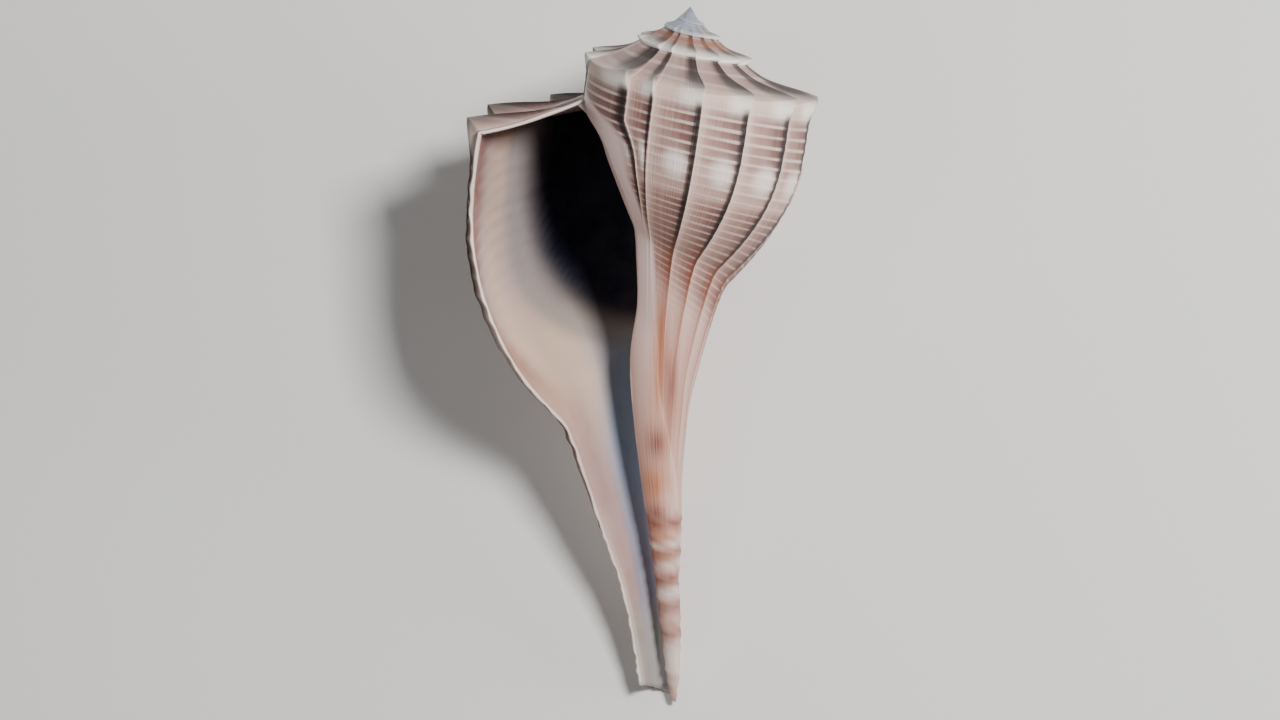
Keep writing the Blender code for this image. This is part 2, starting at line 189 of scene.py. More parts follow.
# Edges of colour in millimetres, as the start and the length of a rise
RAMP_EDGE = (-4.0, 4.0)
CANAL_EDGE = (CALLUS_END, 1.0)
NECK_EDGE = (72.0, 16.0)
NECK_LINE_TOP = (58.0, 16.0)
NECK_LINE_END = (104.0, 22.0)
# MOUTH_EDGE: where the painted shadow in the mouth fades out down the shell
MOUTH_EDGE = (88.0, 18.0)
PAINTED_CANAL_SHADE_EDGE = (80.0, 14.0)
LIRA_TOP = (2.0, 6.0)
LIRA_END = (66.0, 14.0)
LIP_BAND_TOP = (34.0, 8.0)
LIP_BAND_LOW = (92.0, 10.0)
CREAM_TOP = (66.0, 26.0)
CREAM_END = (98.0, 24.0)
GREEN_EDGE = (150.0, 14.0)
RIM_LOW = (92.0, 20.0)

# Edges of colour as shares of the way from one growth line to the next, or of the way into the hollow
PALE_END = (0.0, 0.25)
STREAK_EDGE = (0.52, 0.28)
KNOB_CAP_EDGE = (0.42, 0.32)
DARK_LINE_EDGE = (0.84, 0.09)
PAINTED_CANAL_SHADE_ON_WALL = (0.32, 0.22)
PAINTED_CANAL_SHADE_ON_PILLAR = (0.0, 0.08)
SHADE_ON_PILLAR = (0.04, 0.1)

# The painted shadow in the mouth, a dark colour that stands in for shade: where it starts, how much farther
# from the lip it starts lower down, and where, then its soft and its deep edge as the start past that place
# and the length of the rise
SHADE_START = 33.0
SHADE_SHIFT = 4.0
SHADE_SHIFT_EDGE = (45.0, 30.0)
PAINTED_SOFT_SHADOW_EDGE = (-11.0, 7.0)
PAINTED_MOUTH_SHADOW_EDGE = (-3.0, 11.0)

# Bands of colour as centre and half width: below the shoulder, and from the lip
ORANGE_BAND = (-8.5, 2.6)
KEEL_BAND = (2.2, 3.6)
SPIRE_KEEL_BAND = (0.5, 3.4)
CREAM_BAND = (20.0, 6.0)

# The powers, the edge of the swellings' pale top and painted highlight, the slant of the lirae and the gain
# of the rim in single masks
BROWN_POWER = 1.8
NECK_LINE_POWER = 2.5
SWELLING_EDGE = (0.3, 0.7)
LIRA_SLANT = 0.2
RIM_GAIN = 1.6

# Turns counted back from the lip: the tiers with orange patches, the pale tiers, and the apex
ORANGE_TURNS = (-2.3, -1.15)
PALE_STREAK_TURN = -2
APEX_EDGE = (2.4, 0.5)

# How finely the surface is cut
STEPS_BETWEEN_LINES = (
    0.0, 0.025, 0.06, 0.12, 0.2, 0.28, 0.36, 0.44, 0.52, 0.6, 0.68, 0.75, 0.81, 0.86, 0.9, 0.94, 0.97,
)
STEP_CROWDING = 1.4
FIRST_LOWER_STEP = 0.018
RAMP_STEPS = tuple(1 - (1 - np.linspace(0, 1, 19)) ** STEP_CROWDING)
SIDE_STEPS = tuple(np.linspace(0, 1, 21)[1:])
LOWER_STEPS = (0.0, *(FIRST_LOWER_STEP + (1 - FIRST_LOWER_STEP) * np.linspace(0, 1, 128) ** STEP_CROWDING))
HOLLOW_COLUMNS = 60
HOLLOW_CROWDING = 1.3
LEAST_ANGLE_STEP = 0.3
LIP_ROUNDING = (30.0, 60.0, 90.0, 120.0, 150.0)

# What each point carries for the paint, and the length of one turn at the lip in millimetres
PAINT_VALUES = (
    "turn", "share", "below", "depth", "glaze", "wall", "pillar", "back", "from_lip", "rim",
)
LIP_CIRCUMFERENCE = 305.0

# Patches on the columella's front: across, along, half width and half length from the apex
WARM_PATCHES = [(-10.0, -118.0, 5.0, 18.0), (-6.0, -97.0, 4.6, 20.0), (-8.0, -140.0, 5.0, 10.0)]
ORANGE_PATCHES = [(-8.0, -88.0, 1.5, 14.0), (-9.0, -123.0, 3.8, 5.2), (-8.0, -138.5, 3.0, 3.0)]
RED_PATCHES = [(-4.9, -96.0, 1.9, 10.0), (-8.6, -112.0, 2.8, 4.4), (-8.6, -130.5, 3.4, 2.8)]

# Rings of colour round the canal: depth and half width
BROWN_BANDS = [(134.0, 1.2), (142.0, 1.2), (148.8, 1.6), (156.0, 1.5), (163.0, 1.6)]
WHITE_BANDS = [(139.5, 0.8), (145.0, 0.6), (152.0, 1.2), (170.0, 4.8)]

# Colours, as sRGB: each layer has its mask, its tint, the noise that breaks it up, how much, its strength
BASE_COLOUR = "#D8B5A8"
PAINT = (
    ("tan", "#8B5E53", "streaks", 0.22, 1.0),
    ("brown", "#442726", "streaks", 0.2, 1.0),
    ("thread", "#E8D0C4", "rings", 1.0, 0.75),
    ("fine_thread", "#E0C3B8", "fine_rings", 1.0, 0.5),
    ("pale", "#EFD3C4", "streaks", 0.4, 0.7),
    # White on each swelling's top: partly the shell's pale tone, partly a painted highlight on the dome
    ("swelling", "#F6E8E0", "blotches", 0.2, 0.9),
    ("slate", "#7F7D80", "streaks", 0.45, 0.7),
    ("streak", "#201011", "streaks", 0.15, 1.0),
    ("orange", "#9A5F3C", "blotches", 0.6, 0.95),
    ("keel", "#F8F3E8", "blotches", 0.1, 1.0),
    ("spire_keel", "#EFECE2", "blotches", 0.1, 1.0),
    ("apex", "#A3AEBB", "blotches", 0.3, 0.9),
    ("dark_line", "#180706", "threads", 0.1, 1.0),
    ("neck", "#D8B0A6", "streaks", 0.5, 0.7),
    ("glaze_colour", "#DFC6C0", "blotches", 0.12, 1.0),
    ("neck_line", "#8E4E36", "streaks", 0.4, 0.85),
    ("neck_warm", "#CF8F72", "streaks", 0.6, 0.8),
    ("neck_orange", "#B0602F", "streaks", 0.5, 0.95),
    ("neck_red", "#7B3D30", "streaks", 0.5, 0.95),
    ("canal_stripe", "#B4795F", "blotches", 0.6, 0.7),
    ("canal_band", "#843F2B", "blotches", 0.5, 0.95),
    ("canal_white", "#F1E9DC", "blotches", 0.35, 0.85),
    ("wall_lavender", "#C4ABAB", "blotches", 0.1, 1.0),
    ("wall_cream", "#E0C0A2", "blotches", 0.3, 0.85),
    ("lira", "#E7D3C8", "blotches", 0.3, 0.5),
    # Painted shade: slate blue on the canal's floor and the pillar's side of it, where shade falls in the
    # groove
    ("painted_canal_shade", "#8FA3B8", "blotches", 0.15, 1.0),
    ("wall_green", "#A9B4A8", "blotches", 0.3, 0.85),
    ("lip_band", "#9A5B4E", "blotches", 0.35, 0.9),
    # Painted soft shadow: a grey band on the mouth's wall, the soft edge before the painted deep shadow
    ("painted_soft_shadow", "#7E7F7C", "blotches", 0.1, 0.7),
    # Painted shadow: near-black blue deep in the mouth and on the pillar's side inside it, where shade falls
    ("painted_mouth_shadow", "#10182C", "blotches", 0.06, 0.98),
    ("rim", "#F0E4D3", "blotches", 0.15, 0.95),
)

# Noises stretched by the grain, which runs round the shell and down it in millimetres: scale and detail
GRAIN_NOISES = (
    ("streaks", (0.32, 0.025, 1.0), 5.0),
    ("threads", (0.03, 0.55, 1.0), 3.0),
    ("lines", (1.6, 0.05, 1.0), 4.0),
)
BLOTCH_SCALE = 130.0

# What sets the wall's and the pillar's noise apart from the outside's
WALL_GRAIN = 50.0
PILLAR_GRAIN = 90.0

# The rings' height and narrowness, and the part of a field that a speckle is read from
RING_HEIGHT = 0.6
RING_POWER = 2.0
FIELD_LOW = 0.32
FIELD_HIGH = 0.68

# The surface itself; the bump is in metres
CHALK_ROUGHNESS = 0.52
GLAZE_ROUGHNESS = 0.27
LINE_BUMP = 0.00022
CALCITE_IOR = 1.5

FLOOR_REACH = 3.0
FLOOR_ROUGHNESS = 0.9
FLOOR_COLOUR = "#E9E7E3"
WORLD_COLOUR = "#E8ECF2"
WORLD_STRENGTH = 0.12

# The camera looks down a little from the apex's side: its tilt in degrees, the middle of the picture in
# the shell frame in millimetres, then the width seen there and its distance in metres
VIEW_TILT = 8.0
VIEW_CENTRE = (-12.9, -90.3 * np.cos(np.radians(VIEW_TILT)), 90.3 * np.sin(np.radians(VIEW_TILT)))
VIEW_WIDTH = 0.3270
CAMERA_DISTANCE = 2.0

# Lights: direction from the shell in its own frame, distance and size in metres, power in watts
LIGHTS = (
    ("key", (0.45, 0.5, 1.0), 1.2, 0.25, 20.0),
    ("side", (1.3, 0.1, 0.55), 1.2, 0.4, 6.0),
    ("fill", (-0.9, 0.2, 1.0), 1.4, 0.8, 3.0),
)

# The pose at rest, lying on its back, and the shift that puts its box on the frame's origin
REST_PITCH = 15.69
REST_ROLL = 13.31
REST_SHIFT = (11.251, 87.033, 50.11)


def smooth_curve(where, points):
    """Reads a curve that passes smoothly through the points (cubic pieces with matching slopes)."""
    px, py = np.array(points).T
    slope = np.gradient(py, px)
    where = np.clip(where, px[0], px[-1])
    i = np.clip(np.searchsorted(px, where, side="right") - 1, 0, len(px) - 2)
    width = px[i + 1] - px[i]
    t = (where - px[i]) / width
    start = (1 + 2 * t) * (1 - t) ** 2 * py[i] + t * (1 - t) ** 2 * width * slope[i]
    end = t**2 * (3 - 2 * t) * py[i + 1] + t**2 * (t - 1) * width * slope[i + 1]
    return start + end


def ease(t):
    """Rises smoothly from 0 to 1: 3 t squared less 2 t cubed."""
    t = np.clip(t, 0.0, 1.0)
    return t * t * (3 - 2 * t)


def bell(value, centre, width):
    """A hump of height 1 at the centre that falls off as a bell curve."""
    return np.exp(-(((value - centre) / width) ** 2))


def rise(value, start, length):
    """0 up to the start, then smoothly up to 1 over the length."""
    return ease((value - start) / length)


def zone(value, rise_start, rise_length, fall_start, fall_length):
    """1 between a smooth rise and a smooth fall, and 0 outside them."""
    return rise(value, rise_start, rise_length) * (1 - rise(value, fall_start, fall_length))


def uneven_wave(depth, rate, drift, drift_rate):
    """A sine wave down the shell, with a spacing that drifts by another sine wave."""
    return np.sin(depth * rate + drift * np.sin(depth * drift_rate))


def growth(angle):
    """Size of the shell at a growth angle, as a share of its size at the lip."""
    return WHORL_GROWTH ** (angle / 360)


def lip_drop(angle):
    """How far the shoulder drops on the way to the lip, in millimetres."""
    return LIP_DROP * ease((angle - LIP_DROP_START) / -LIP_DROP_START)


def lip_flare(angle):
    """Widening of the side on the way to the lip, as a factor."""
    return 1 + LIP_FLARE * ease((angle - LIP_FLARE_START) / -LIP_FLARE_START)


def shoulder_depth(angle):
    """Depth of the keeled shoulder: a power of the growth, and the drop at the lip."""
    return SHOULDER_DEPTH * growth(angle) ** SHOULDER_DEPTH_POWER + lip_drop(angle)


def below_shoulder(angle, depth):
    """Depth below the shoulder, measured as if the whorl were the size that it has at the lip."""
    return (depth - shoulder_depth(angle)) / growth(angle) ** SIDE_DEPTH_POWER


def side_radius(angle, depth):
    """Radius of a whorl's side: the lip's profile scaled by growth, joined smoothly to the pillar."""
    side = growth(angle) * lip_flare(angle) * smooth_curve(below_shoulder(angle, depth), SIDE_PROFILE)
    pillar = smooth_curve(depth, PILLAR_PROFILE)
    return (np.maximum(side, 0.0) ** PILLAR_BLEND + pillar**PILLAR_BLEND) ** (1 / PILLAR_BLEND)


def suture_depth(angle):
    """Depth where a whorl joins the one before it, just under that one's keel."""
    before = angle - 360
    keel = growth(before) * SHOULDER_RADIUS * SUTURE_BELOW_KEEL
    return shoulder_depth(before) + keel + SUTURE_DROP_SHARE * lip_drop(angle)


LOWER_START = (suture_depth(0.0) - shoulder_depth(-360.0)) / growth(-360.0) ** SIDE_DEPTH_POWER


def lower_start_depth(angle):
    """Depth of the last row that the next whorl leaves bare, carried on round the last whorl."""
    covered = suture_depth(angle + 360)
    bare = shoulder_depth(angle) + LOWER_START * growth(angle) ** SIDE_DEPTH_POWER
    return np.where(angle < -360, covered, bare)


def upper_surface(angle, row):
    """Radius and depth of a row of the ramp, the keel and the top of the side."""
    ramp_rows = len(RAMP_STEPS) - 1
    t = np.array(RAMP_STEPS + SIDE_STEPS)[row]
    top_depth = suture_depth(angle)
    top_radius = side_radius(angle - 360, top_depth)
    keel_depth = shoulder_depth(angle)
    keel_radius = side_radius(angle, keel_depth)
    ramp_radius = top_radius + (keel_radius - top_radius) * t
    ramp_depth = top_depth + (keel_depth - top_depth) * (t + RAMP_SAG * 4 * t * (1 - t))
    side_depth = keel_depth + (lower_start_depth(angle) - keel_depth) * t
    on_ramp = row <= ramp_rows
    depth = np.where(on_ramp, ramp_depth, side_depth)
    return np.where(on_ramp, ramp_radius, side_radius(angle, side_depth)), depth


def canal_end_depth(azimuth):
    """Depth of the broken end: the smooth line of the break and a few sine waves for its jags."""
    turn = np.radians(azimuth)
    jags = sum(np.sin(rate * turn + shift) * share for rate, shift, share in BREAK_WAVES)
    return smooth_curve(azimuth, CANAL_END) - BREAK_ROUGHNESS * (jags + 1) / 2 * rise(azimuth, *BREAK_EDGE)


def lower_surface(angle, row):
    """Radius and depth of a row between the bare part of the side and the end of the canal."""
    share = np.array(LOWER_STEPS)[row]
    start = lower_start_depth(angle)
    depth = start + (canal_end_depth(angle + LIP_AZIMUTH) - start) * share
    return side_radius(angle, depth), depth


def since_growth_line(azimuth):
    """Share of the way from one growth line to the next, 0 just past a line and 1 at the next."""
    lines = np.array([GROWTH_LINES[-1] - 360] + GROWTH_LINES + [GROWTH_LINES[0] + 360])
    wrapped = (azimuth - lines[0]) % 360 + lines[0]
    i = np.clip(np.searchsorted(lines, wrapped - LINE_SLACK, side="left") - 1, 0, len(lines) - 2)
    return (wrapped - lines[i]) / (lines[i + 1] - lines[i])


def callus(angle, depth):
    """How much of the glaze that the inner lip spreads over the front covers a place, from 0 to 1."""
    azimuth = (angle + LIP_AZIMUTH) % 360
    azimuth = np.where(azimuth < LIP_AZIMUTH, azimuth + 360, azimuth)
    edge = smooth_curve(depth, CALLUS_AZIMUTH)
    front = ease((edge - azimuth) / CALLUS_SIDE_FADE + 0.5) * rise(azimuth, *CALLUS_FIRST_EDGE)
    on_whorl = (angle <= 0) * (angle > LAST_WHORL_START)
    return front * ease((CALLUS_END - depth) / CALLUS_END_FADE) * on_whorl


def relief(angle, radius, depth, line_angle):
    """Adds knobs, saw-tooth growth steps, swellings, threads, callus and canal wrinkles to the bare form.

    Knobs, steps, swellings and threads are multiplied by the growth, so early whorls carry smaller ones."""
    size = growth(angle)
    share = since_growth_line(line_angle + LIP_AZIMUTH)
    below = below_shoulder(angle, depth)
    knob = share**KNOB_POWER * bell(below, 0, KNOB_WIDTH)
    lower_end = 1 - ease((below - STEP_LOW_START) / STEP_LOW_FADE)
    step = share**STEP_POWER * ease(below / STEP_TOP_FADE + 1) * lower_end
    swelling = np.sin(np.pi * share**SWELLING_POWER) * bell(below, SWELLING_DEPTH, SWELLING_WIDTH)
    thread = np.sin(2 * np.pi * below / THREAD_SPACING) * zone(below, *THREAD_RELIEF_ZONE)
    glaze = callus(angle, depth)
    wrinkle = uneven_wave(depth, *WRINKLE_WAVE) * rise(depth, CALLUS_END, WRINKLE_FADE)
    lip = np.exp(np.minimum(angle, 0) / RIPPLE_REACH) * uneven_wave(depth, *RIPPLE_WAVE)
    out = KNOB_HEIGHT * knob + STEP_HEIGHT * step + SWELLING_HEIGHT * swelling + THREAD_HEIGHT * thread
    out = out * size * (1 - CALLUS_HIDES * glaze) + CALLUS_THICKNESS * glaze
    out = out + CANAL_WRINKLE * wrinkle * (angle > LAST_WHORL_START) + LIP_RIPPLE * lip
    return radius + out, depth - size * KNOB_RISE * knob * (1 - glaze)


def axis_place(depth):
    """Place of the axis in X and Y and its lean in radians, from the lean added up down the axis."""
    fine = np.linspace(0.0, AXIS_LENGTH + AXIS_OVERRUN, AXIS_SAMPLES)
    lean = np.radians(np.interp(fine, *np.array(AXIS_LEAN).T))
    step = np.diff(fine)
    across = np.concatenate([[0.0], np.cumsum(-np.sin((lean[1:] + lean[:-1]) / 2) * step)])
    along = np.concatenate([[0.0], np.cumsum(-np.cos((lean[1:] + lean[:-1]) / 2) * step)])
    return np.interp(depth, fine, across), np.interp(depth, fine, along), np.interp(depth, fine, lean)


def place(azimuth, radius, depth):
    """Turns azimuth, radius and depth into X, Y and Z, on the leaning axis."""
    across, along, lean = axis_place(depth)
    turn = np.radians(azimuth)
    sideways = radius * np.cos(turn)
    x = across + sideways * np.cos(lean)
    y = along - sideways * np.sin(lean)
    z = -radius * np.sin(turn)
    return np.stack([x, y, z], axis=-1)


def growth_angles():
    """Growth angles of the columns of one turn, close together at each growth line."""
    lines = [azimuth - LIP_AZIMUTH for azimuth in GROWTH_LINES]
    lines = [lines[-1] - 360] + lines
    angles = []
    for start, end in zip(lines, lines[1:]):
        angles += [start + (end - start) * step for step in STEPS_BETWEEN_LINES]
    angles = sorted(angle % 360 - 360 for angle in angles)
    if angles[0] + 360 < LEAST_ANGLE_STEP:
        angles = angles[1:]
    return np.array([-360.0] + angles)


def wall_thickness(angle, depth):
    """Thin at the lip and along the canal, full in the body."""
    body = LIP_WALL + (WALL - LIP_WALL) * ease(-angle / WALL_THIN_ANGLE)
    return body + (np.minimum(CANAL_WALL, body) - body) * rise(depth, CANAL_WALL_START, CANAL_WALL_FADE)


def inner_radius(azimuth, depth, top_depth):
    """Radius of the whorl before, cut back where it forms the inner lip and the back of the mouth."""
    bare = side_radius(azimuth - LIP_AZIMUTH - 360, depth)
    edge = smooth_curve(depth, INNER_LIP_AZIMUTH)
    cut = ease((edge - azimuth) / INNER_LIP_FADE) * ease((depth - top_depth) / INNER_LIP_TOP_FADE)
    cut = cut * (1 - ease((depth - INNER_LIP_LOW_START) / INNER_LIP_LOW_FADE))
    return bare * (1 - INNER_LIP_DEPTH * cut)


class Surface:
    """Collects points with their paint values, numbered as they come, and the faces between them."""

    def __init__(self):
        self.points = []
        self.paint = {name: [] for name in PAINT_VALUES}
        self.count = 0
        self.faces = []

    def add(self, points, **values):
        """Adds an array of points; values that are left out are 0."""
        shape = points.shape[:-1]
        numbers = np.arange(self.count, self.count + int(np.prod(shape))).reshape(shape)
        self.points.append(points.reshape(-1, 3))
        self.count += numbers.size
        for name in PAINT_VALUES:
            self.paint[name].append(np.broadcast_to(values.get(name, 0.0), shape).reshape(-1))
        return numbers

    def add_outside(self, angle, radius, depth, line_angle):
        """Adds points of the outer skin, with what their paint is worked out from."""
        return self.add(
            place(angle + LIP_AZIMUTH, radius, depth),
            turn=angle / 360,
            share=since_growth_line(line_angle + LIP_AZIMUTH),
            below=below_shoulder(angle, depth),
            depth=depth,
            glaze=callus(angle, depth),
        )

    def skin(self, grid, flip=False):
        """Joins a grid of point numbers with four-sided faces, wound the other way round if asked."""
        corners = [grid[:-1, :-1], grid[1:, :-1], grid[1:, 1:], grid[:-1, 1:]]
        quads = np.stack([corner.reshape(-1) for corner in corners], axis=1)
        self.faces.append(quads[:, ::-1] if flip else quads)


def shell_surface():
    """Builds the whole skin: spire, last whorl, lip, hollow and the broken end of the canal."""
    surface = Surface()
    turn = growth_angles()
    per_turn = len(turn)
    turns = int(-FIRST_GROWTH_ANGLE / 360)
    angles = np.concatenate([turn - 360 * n for n in range(turns - 1, -1, -1)] + [[0.0]])
    last = per_turn * (turns - 1)
    upper_rows = len(RAMP_STEPS) + len(SIDE_STEPS) - 1
    lower_rows = len(LOWER_STEPS) - 1

    # Ramps, keels and sides, wound from the apex to the lip; each turn starts on the one before it
    angle, row = np.meshgrid(angles, np.arange(upper_rows + 1), indexing="ij")
    radius, depth = relief(angle, *upper_surface(angle, row), angle)
    upper = surface.add_outside(angle, radius, depth, angle)
    upper[: last + 1, upper_rows] = upper[per_turn : per_turn + last + 1, 0]
    surface.skin(upper)

    # Tip of the spire
    first = np.full(1, FIRST_GROWTH_ANGLE)
    tip = surface.add_outside(first, np.zeros(1), np.zeros(1), first)[0]
    fan = np.concatenate([upper[0, ::-1], upper[1 : per_turn + 1, 0]])
    surface.skin(np.stack([np.full(len(fan), tip), fan], axis=1))

    # The rest of the last whorl, from the inner lip round to the outer lip
    row = np.arange(lower_rows + 1)[None, :]
    start_depth = lower_surface(np.full(lower_rows + 1, -360.0), row[0])[1]
    start_shift = smooth_curve(start_depth, INNER_LIP_AZIMUTH) - LIP_AZIMUTH
    start_shift[0] = 0.0
    end_shift = smooth_curve(lower_surface(np.zeros(lower_rows + 1), row[0])[1], LIP_LEAN)
    end_shift[0] = 0.0
    own_angle = np.concatenate([turn, [0.0]])[:, None]
    first_bare = FIRST_BARE_LINE - LIP_AZIMUTH
    squeeze = np.clip((first_bare - own_angle) / (first_bare + 360), 0, 1)
    along = own_angle / 360 + 1
    angle = own_angle + start_shift * squeeze + end_shift * along**LIP_LEAN_POWER
    row = np.broadcast_to(row, angle.shape)
    radius, depth = relief(angle, *lower_surface(angle, row), own_angle)
    lower = surface.add_outside(angle, radius, depth, own_angle)
    lower[:, 0] = upper[last : last + per_turn + 1, upper_rows]
    surface.skin(lower)
    front_radius = radius[0, 1:]
    front_depth = depth[0, 1:]

    # The outer side of the hollow, a wall's thickness inside the last whorl, with faint lirae
    back = np.linspace(0, 1, HOLLOW_COLUMNS + 1)[:, None] ** HOLLOW_CROWDING
    upper_index = np.arange(upper_rows + 1)[None, :]
    lower_index = np.arange(1, lower_rows + 1)[None, :]
    lip_depth = lower_surface(np.zeros(lower_rows), lower_index[0])[1]
    hollow_end = smooth_curve(lip_depth, HOLLOW_END_AZIMUTH)
    ceiling_end = np.full(upper_rows + 1, HOLLOW_END_AZIMUTH[0][1])
    end_angle = np.concatenate([ceiling_end, hollow_end]) - LIP_AZIMUTH
    lip_angle = np.concatenate([np.zeros(upper_rows + 1), end_shift[1:]])
    angle = lip_angle + (end_angle - lip_angle) * back
    upper_angle = angle[:, : upper_rows + 1]
    lower_angle = angle[:, upper_rows + 1 :]
    upper_part = upper_surface(upper_angle, np.broadcast_to(upper_index, upper_angle.shape))
    lower_part = lower_surface(lower_angle, np.broadcast_to(lower_index, lower_angle.shape))
    radius = np.concatenate([upper_part[0], lower_part[0]], axis=1)
    depth = np.concatenate([upper_part[1], lower_part[1]], axis=1)
    along_radius = np.gradient(radius, axis=1)
    along_depth = np.gradient(depth, axis=1)
    length = np.hypot(along_radius, along_depth)
    below = below_shoulder(angle, depth)
    lira = np.sin(2 * np.pi * below / LIRA_SPACING) * zone(below, *LIRA_RELIEF_ZONE)
    lira = lira * ease(-angle / LIRA_START) * np.exp(np.minimum(angle, 0) / LIRA_REACH)
    thickness = wall_thickness(angle, depth) + LIRA_HEIGHT * lira
    wall_radius = radius - thickness * along_depth / length
    wall_depth = depth + thickness * along_radius / length

    # The inner side of the hollow: the whorl before and the pillar
    hollow_top = suture_depth(angle[:, :1]) + WALL
    end_depth = canal_end_depth(lower_angle + LIP_AZIMUTH)
    share = np.array(LOWER_STEPS)[lower_index]
    first_share = LOWER_STEPS[1]
    share = (share - first_share) / (1 - first_share)
    edge = smooth_curve(front_depth, INNER_LIP_AZIMUTH)
    edge[0] = LIP_AZIMUTH
    inner_azimuth = edge + (hollow_end - edge) * back
    inner_azimuth[:, 0] = angle[:, 0] + LIP_AZIMUTH
    inner_depth = hollow_top + (end_depth - hollow_top) * share
    inner_depth = inner_depth + (front_depth - inner_depth[0]) * (1 - back) ** FRONT_DEPTH_POWER
    inner = inner_radius(inner_azimuth, inner_depth, hollow_top)
    inner = inner + (front_radius - inner[0]) * (1 - back) ** FRONT_RADIUS_POWER
    inner[:, 0] = side_radius(inner_azimuth[:, 0] - LIP_AZIMUTH - 360, inner_depth[:, 0])

    # The wall keeps clear of the inner side, and closes on it at the back of the hollow
    facing = inner_radius(lower_angle + LIP_AZIMUTH, wall_depth[:, upper_rows + 1 :], hollow_top)
    gap = wall_radius[:, upper_rows + 1 :] - facing
    wall_radius[:, upper_rows + 1 :] = facing + np.maximum(gap, LEAST_GAP)
    backed = np.clip((angle - end_angle) / HOLLOW_ROUNDING, 0, 1)
    taper = np.sqrt(1 - (1 - backed) ** 2)
    base_radius = np.concatenate([np.repeat(inner[:, :1], upper_rows + 1, axis=1), facing], axis=1)
    base_top = np.repeat(inner_depth[:, :1], upper_rows + 1, axis=1)
    base_depth = np.concatenate([base_top, wall_depth[:, upper_rows + 1 :]], axis=1)
    wall_radius = base_radius + (wall_radius - base_radius) * taper
    wall_depth = base_depth + (wall_depth - base_depth) * taper

    wall_points = place(angle + LIP_AZIMUTH, wall_radius, wall_depth)
    wall = surface.add(
        wall_points,
        turn=angle / 360,
        below=below,
        depth=depth,
        wall=1.0,
        back=back,
        from_lip=np.radians(lip_angle - angle) * radius,
    )
    pillar = surface.add(
        place(inner_azimuth, inner, inner_depth),
        turn=inner_azimuth / 360,
        depth=inner_depth,
        pillar=1.0,
        back=back,
        glaze=1.0,
    )
    pillar[0] = lower[0, 1:]
    wall[:, 0] = pillar[:, 0]
    wall[-1, : upper_rows + 2] = pillar[-1, 0]
    pillar[-1, 1:] = wall[-1, upper_rows + 2 :]
    surface.skin(wall, flip=True)
    surface.skin(pillar)

    # The rim of the outer lip: half circles from the outer skin to the wall; then the broken end
    lip = np.concatenate([upper[-1], lower[-1, 1:]])
    behind = np.concatenate([upper[-2], lower[-2, 1:]])
    every = np.concatenate(surface.points)
    outer_edge = every[lip]
    inner_edge = wall_points[0]
    forward = outer_edge - every[behind]
    forward = forward / np.linalg.norm(forward, axis=1, keepdims=True)
    middle = (outer_edge + inner_edge) / 2
    half = (outer_edge - inner_edge) / 2
    turn_back = np.radians(LIP_ROUNDING)[:, None, None]
    bulge = np.linalg.norm(half, axis=1, keepdims=True) * forward
    rim_points = middle + np.cos(turn_back) * half + np.sin(turn_back) * bulge
    whiteness = 1 - np.array(LIP_ROUNDING)[:, None] / 180
    rim = surface.add(rim_points, depth=depth[0], below=below[0], rim=whiteness, wall=1.0)
    rim = np.concatenate([lip[None], rim, wall[:1]])
    surface.skin(rim)
    end = np.concatenate([lower[:, -1], rim[1:-1, -1], wall[:, -1], pillar[-2:0:-1, -1]])
    return surface, end


def lay_down(points):
    """Turns the shell onto its back and moves it to the frame's origin."""
    pitch = np.radians(REST_PITCH)
    roll = np.radians(REST_ROLL)
    about_x = np.array([[1, 0, 0], [0, np.cos(pitch), -np.sin(pitch)], [0, np.sin(pitch), np.cos(pitch)]])
    about_y = np.array([[np.cos(roll), 0, np.sin(roll)], [0, 1, 0], [-np.sin(roll), 0, np.cos(roll)]])
    return points @ (about_x @ about_y).T + REST_SHIFT


def patches(points, centres):
    """Sum of soft ovals on the front: across and along in millimetres, half width, half length."""
    total = np.zeros(len(points))
    for across, along, width, length in centres:
        total += np.exp(-(((points[:, 0] - across) / width) ** 2) - ((points[:, 1] - along) / length) ** 2)
    return np.minimum(total, 1.0) * (points[:, 2] > 0)


def bands(depth, centres):
    """Sum of soft rings round the canal: depth and half width in millimetres."""
    return np.minimum(sum(bell(depth, centre, width) for centre, width in centres), 1.0)


